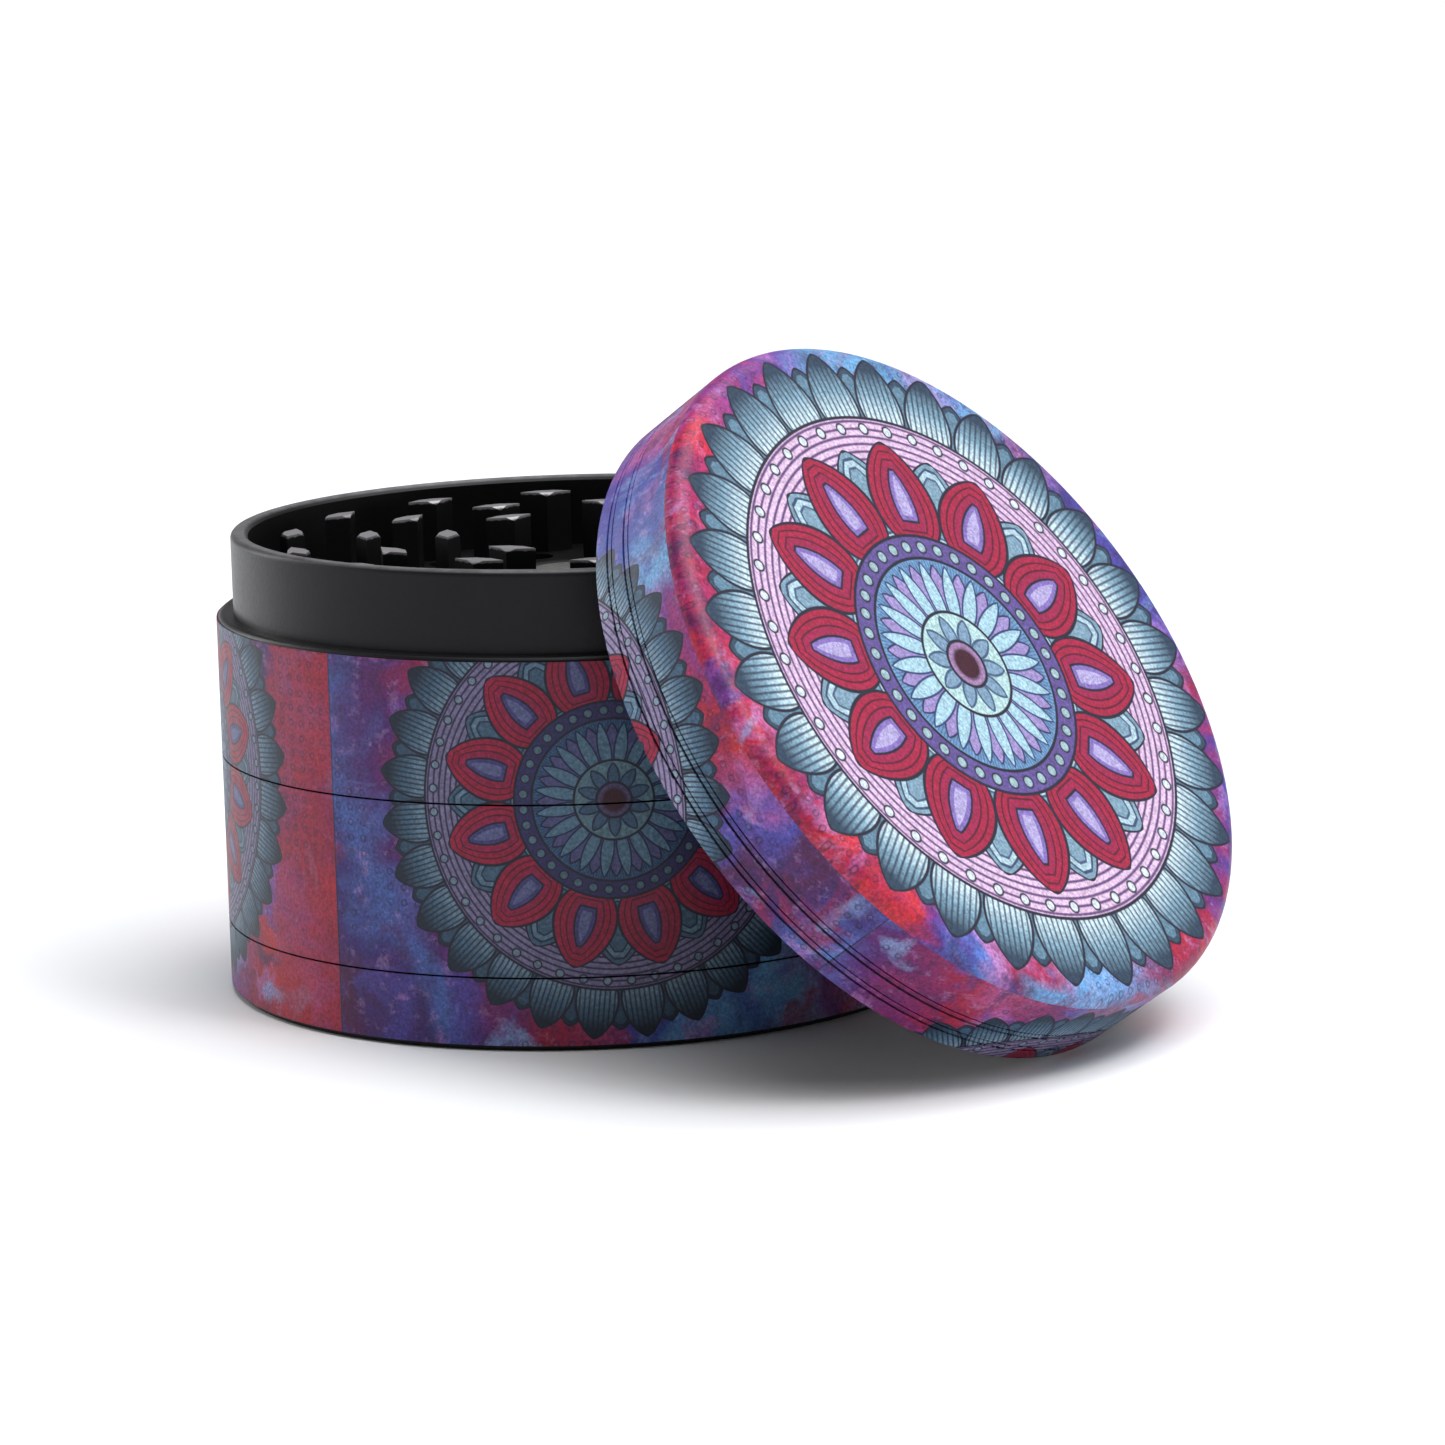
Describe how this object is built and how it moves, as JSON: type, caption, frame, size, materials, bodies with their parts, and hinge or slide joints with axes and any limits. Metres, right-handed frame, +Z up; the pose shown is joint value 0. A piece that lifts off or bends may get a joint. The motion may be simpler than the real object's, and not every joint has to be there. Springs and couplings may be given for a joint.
{
  "type": "four-tier herb and spice grinder",
  "caption": "Round metal herb and spice grinder with printed film, stacked screw-together tiers, a fine screen and a toothed lid that leans open on the body.",
  "frame": {"origin": "centre of the base dish's flat underside, on the table", "axes": "+Z up along the body's centreline; -Y is the front, the side that the object is usually seen from; the lid leans on the body's front right edge, between +X and -Y"},
  "size_m": [0.0875, 0.0883, 0.0568],
  "materials": {
    "black_metal": "satin black anodised aluminium alloy",
    "printed_film": "matte printed polymer film in crimson, violet and blue",
    "screen_steel": "plain stainless wire cloth",
    "magnet_nickel": "nickel plate",
    "nylon": "natural nylon"
  },
  "bodies": {
    "base": {"base_dish": "black_metal", "base_print": "printed_film", "base_thread": "black_metal"},
    "screen_ring": {"screen_retaining_ring": "screen_steel"},
    "screen_stage": {"screen_stage": "black_metal", "stage_print": "printed_film", "stage_lower_thread": "black_metal", "stage_upper_thread": "black_metal", "screen_mesh": "screen_steel"},
    "chamber_magnet": {"chamber_magnet": "magnet_nickel"},
    "grinding_chamber": {"grinding_chamber": "black_metal", "chamber_floor": "black_metal", "chamber_print": "printed_film", "chamber_thread": "black_metal", "chamber_teeth_inner": "black_metal", "chamber_teeth_middle": "black_metal", "chamber_teeth_outer": "black_metal"},
    "slip_ring": {"lid_slip_ring": "nylon"},
    "lid": {"lid_shell": "black_metal", "lid_face_print": "printed_film", "lid_skirt_print": "printed_film", "lid_teeth_inner": "black_metal", "lid_teeth_outer": "black_metal", "lid_magnet": "magnet_nickel"}
  },
  "joints": [
    {"name": "screen_stage_rise", "type": "slide", "parent": "base", "child": "screen_ring", "axis": [0, 0, 1], "range_m": [0, 0.0045]},
    {"name": "screen_stage_unscrew", "type": "hinge", "parent": "screen_ring", "child": "screen_stage", "pos_m": [0, 0, 0], "axis": [0, 0, 1], "range_deg": [0, 1080]},
    {"name": "chamber_rise", "type": "slide", "parent": "screen_stage", "child": "chamber_magnet", "axis": [0, 0, 1], "range_m": [0, 0.0045]},
    {"name": "chamber_unscrew", "type": "hinge", "parent": "chamber_magnet", "child": "grinding_chamber", "pos_m": [0, 0, 0], "axis": [0, 0, 1], "range_deg": [0, 1080]},
    {"name": "lid_lift", "type": "slide", "parent": "grinding_chamber", "child": "slip_ring", "axis": [0, 0, 1], "range_m": [0, 0.06]},
    {"name": "lid_turn", "type": "hinge", "parent": "slip_ring", "child": "lid", "pos_m": [0.02633, -0.02477, 0.02579], "axis": [0.664, -0.478, 0.575], "continuous": true}
  ],
  "couplings": [
    {"joint": "screen_stage_rise", "follows": "screen_stage_unscrew", "m_per_rad": 0.00023873},
    {"joint": "chamber_rise", "follows": "chamber_unscrew", "m_per_rad": 0.00023873}
  ]
}
